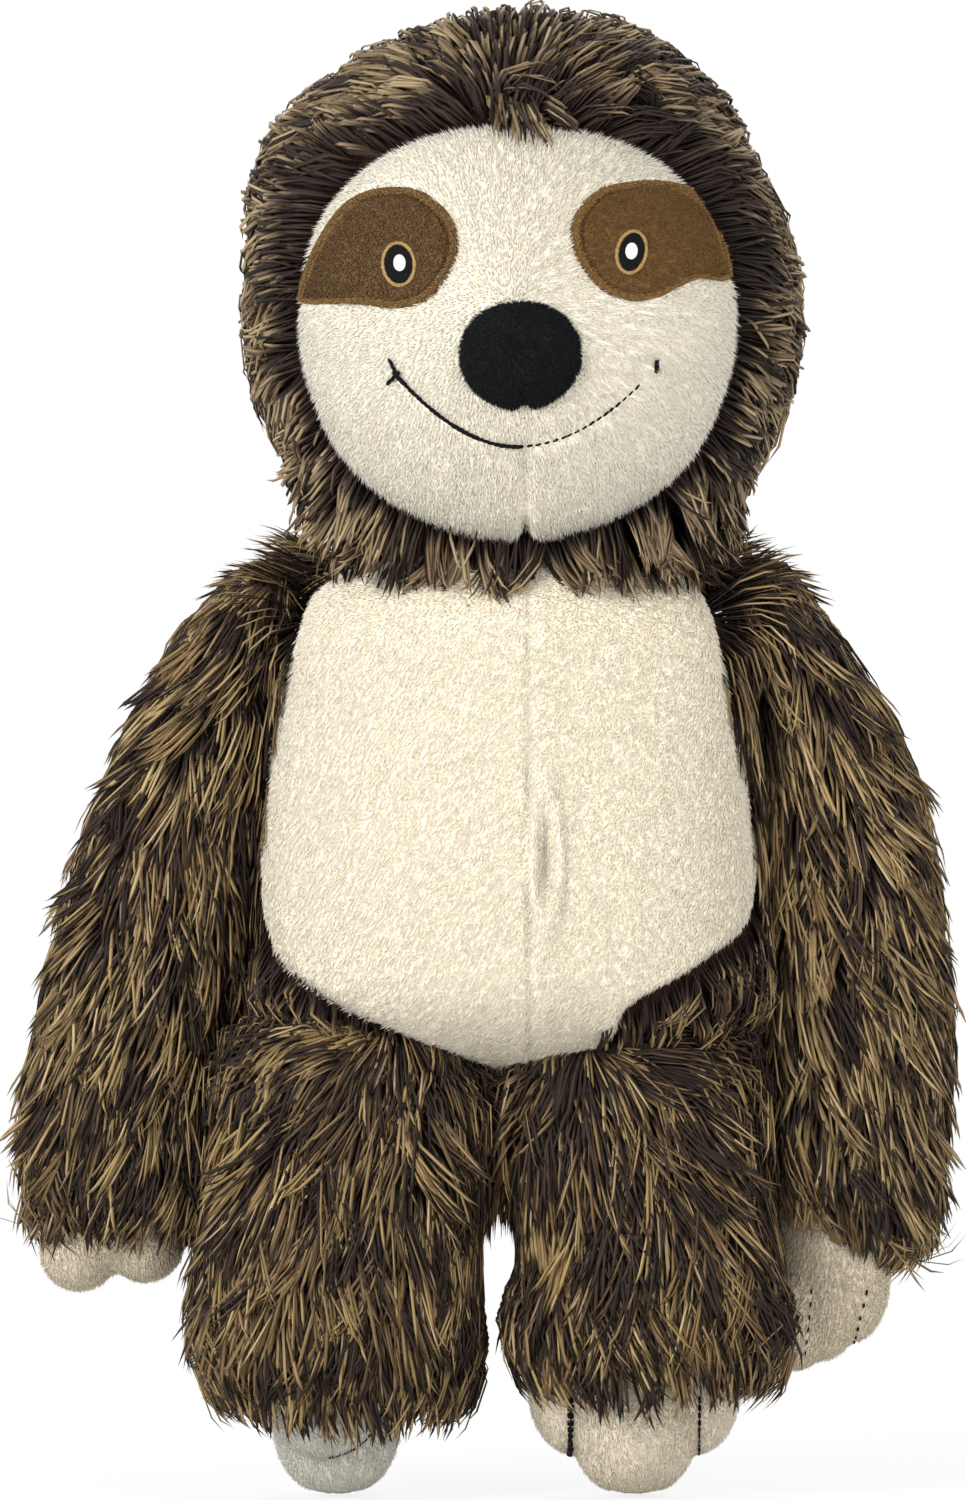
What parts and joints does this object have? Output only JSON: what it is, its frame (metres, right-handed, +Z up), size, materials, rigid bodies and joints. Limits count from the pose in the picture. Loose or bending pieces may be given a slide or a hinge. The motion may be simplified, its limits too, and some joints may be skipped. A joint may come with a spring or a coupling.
{
  "type": "plush sloth",
  "caption": "Standing stuffed sloth toy in shaggy long-pile fur, with a cream plush face and belly, dark eye patches, hanging arms and short legs that swing at sewn seams.",
  "frame": {"origin": "on the floor under the middle of the toy's box", "axes": "+Z up, the face looks along -Y, +X to the toy's own left"},
  "size_m": [0.1856, 0.0998, 0.295],
  "materials": {
    "long_pile_fur": "shaggy two-tone long pile, dark roots and tan tips",
    "cream_plush": "short dense nap",
    "brown_velboa": "short velvety pile",
    "nose_velboa": "short velvety pile, near black",
    "tan_thread": "satin stitch, soft sheen",
    "black_thread": "satin stitch, soft sheen",
    "white_thread": "satin stitch, soft sheen",
    "seam_thread": "matt spun thread",
    "fibre_filling": "loose white polyester fibre"
  },
  "bodies": {
    "torso": {"back_fur_panel": "long_pile_fur", "right_belly_panel": "cream_plush", "left_belly_panel": "cream_plush", "torso_filling": "fibre_filling", "neck_seam_thread": "seam_thread"},
    "head": {"head_fur_hood": "long_pile_fur", "face_panel": "cream_plush", "head_filling": "fibre_filling", "right_eye_patch": "brown_velboa", "left_eye_patch": "brown_velboa", "right_eye_ring": "tan_thread", "left_eye_ring": "tan_thread", "right_pupil": "black_thread", "left_pupil": "black_thread", "right_eye_glint": "white_thread", "left_eye_glint": "white_thread", "right_mouth_stitching": "black_thread", "left_mouth_stitching": "black_thread", "nose": "nose_velboa"},
    "right_arm": {"right_arm_sleeve": "long_pile_fur", "right_paw": "cream_plush", "right_arm_filling": "fibre_filling", "right_finger_stitch_inner": "black_thread", "right_finger_stitch_outer": "black_thread"},
    "left_arm": {"left_arm_sleeve": "long_pile_fur", "left_paw": "cream_plush", "left_arm_filling": "fibre_filling", "left_finger_stitch_inner": "black_thread", "left_finger_stitch_outer": "black_thread"},
    "right_leg": {"right_leg_sleeve": "long_pile_fur", "right_foot": "cream_plush", "right_leg_filling": "fibre_filling", "right_toe_stitch_inner": "black_thread", "right_toe_stitch_outer": "black_thread"},
    "left_leg": {"left_leg_sleeve": "long_pile_fur", "left_foot": "cream_plush", "left_leg_filling": "fibre_filling", "left_toe_stitch_inner": "black_thread", "left_toe_stitch_outer": "black_thread"}
  },
  "joints": [
    {"name": "neck_turn", "type": "hinge", "parent": "torso", "child": "head", "pos_m": [0.0062, 0.003, 0.188], "axis": [0, 0, 1], "range_deg": [-45, 45]},
    {"name": "right_shoulder_swing", "type": "hinge", "parent": "torso", "child": "right_arm", "pos_m": [-0.048, 0.011, 0.176], "axis": [-1, 0, 0], "range_deg": [-45, 120]},
    {"name": "left_shoulder_swing", "type": "hinge", "parent": "torso", "child": "left_arm", "pos_m": [0.056, 0.011, 0.176], "axis": [-1, 0, 0], "range_deg": [-45, 120]},
    {"name": "right_hip_swing", "type": "hinge", "parent": "torso", "child": "right_leg", "pos_m": [-0.0268, -0.003, 0.08], "axis": [-1, 0, 0], "range_deg": [-20, 90]},
    {"name": "left_hip_swing", "type": "hinge", "parent": "torso", "child": "left_leg", "pos_m": [0.0274, -0.003, 0.08], "axis": [-1, 0, 0], "range_deg": [-20, 90]}
  ]
}
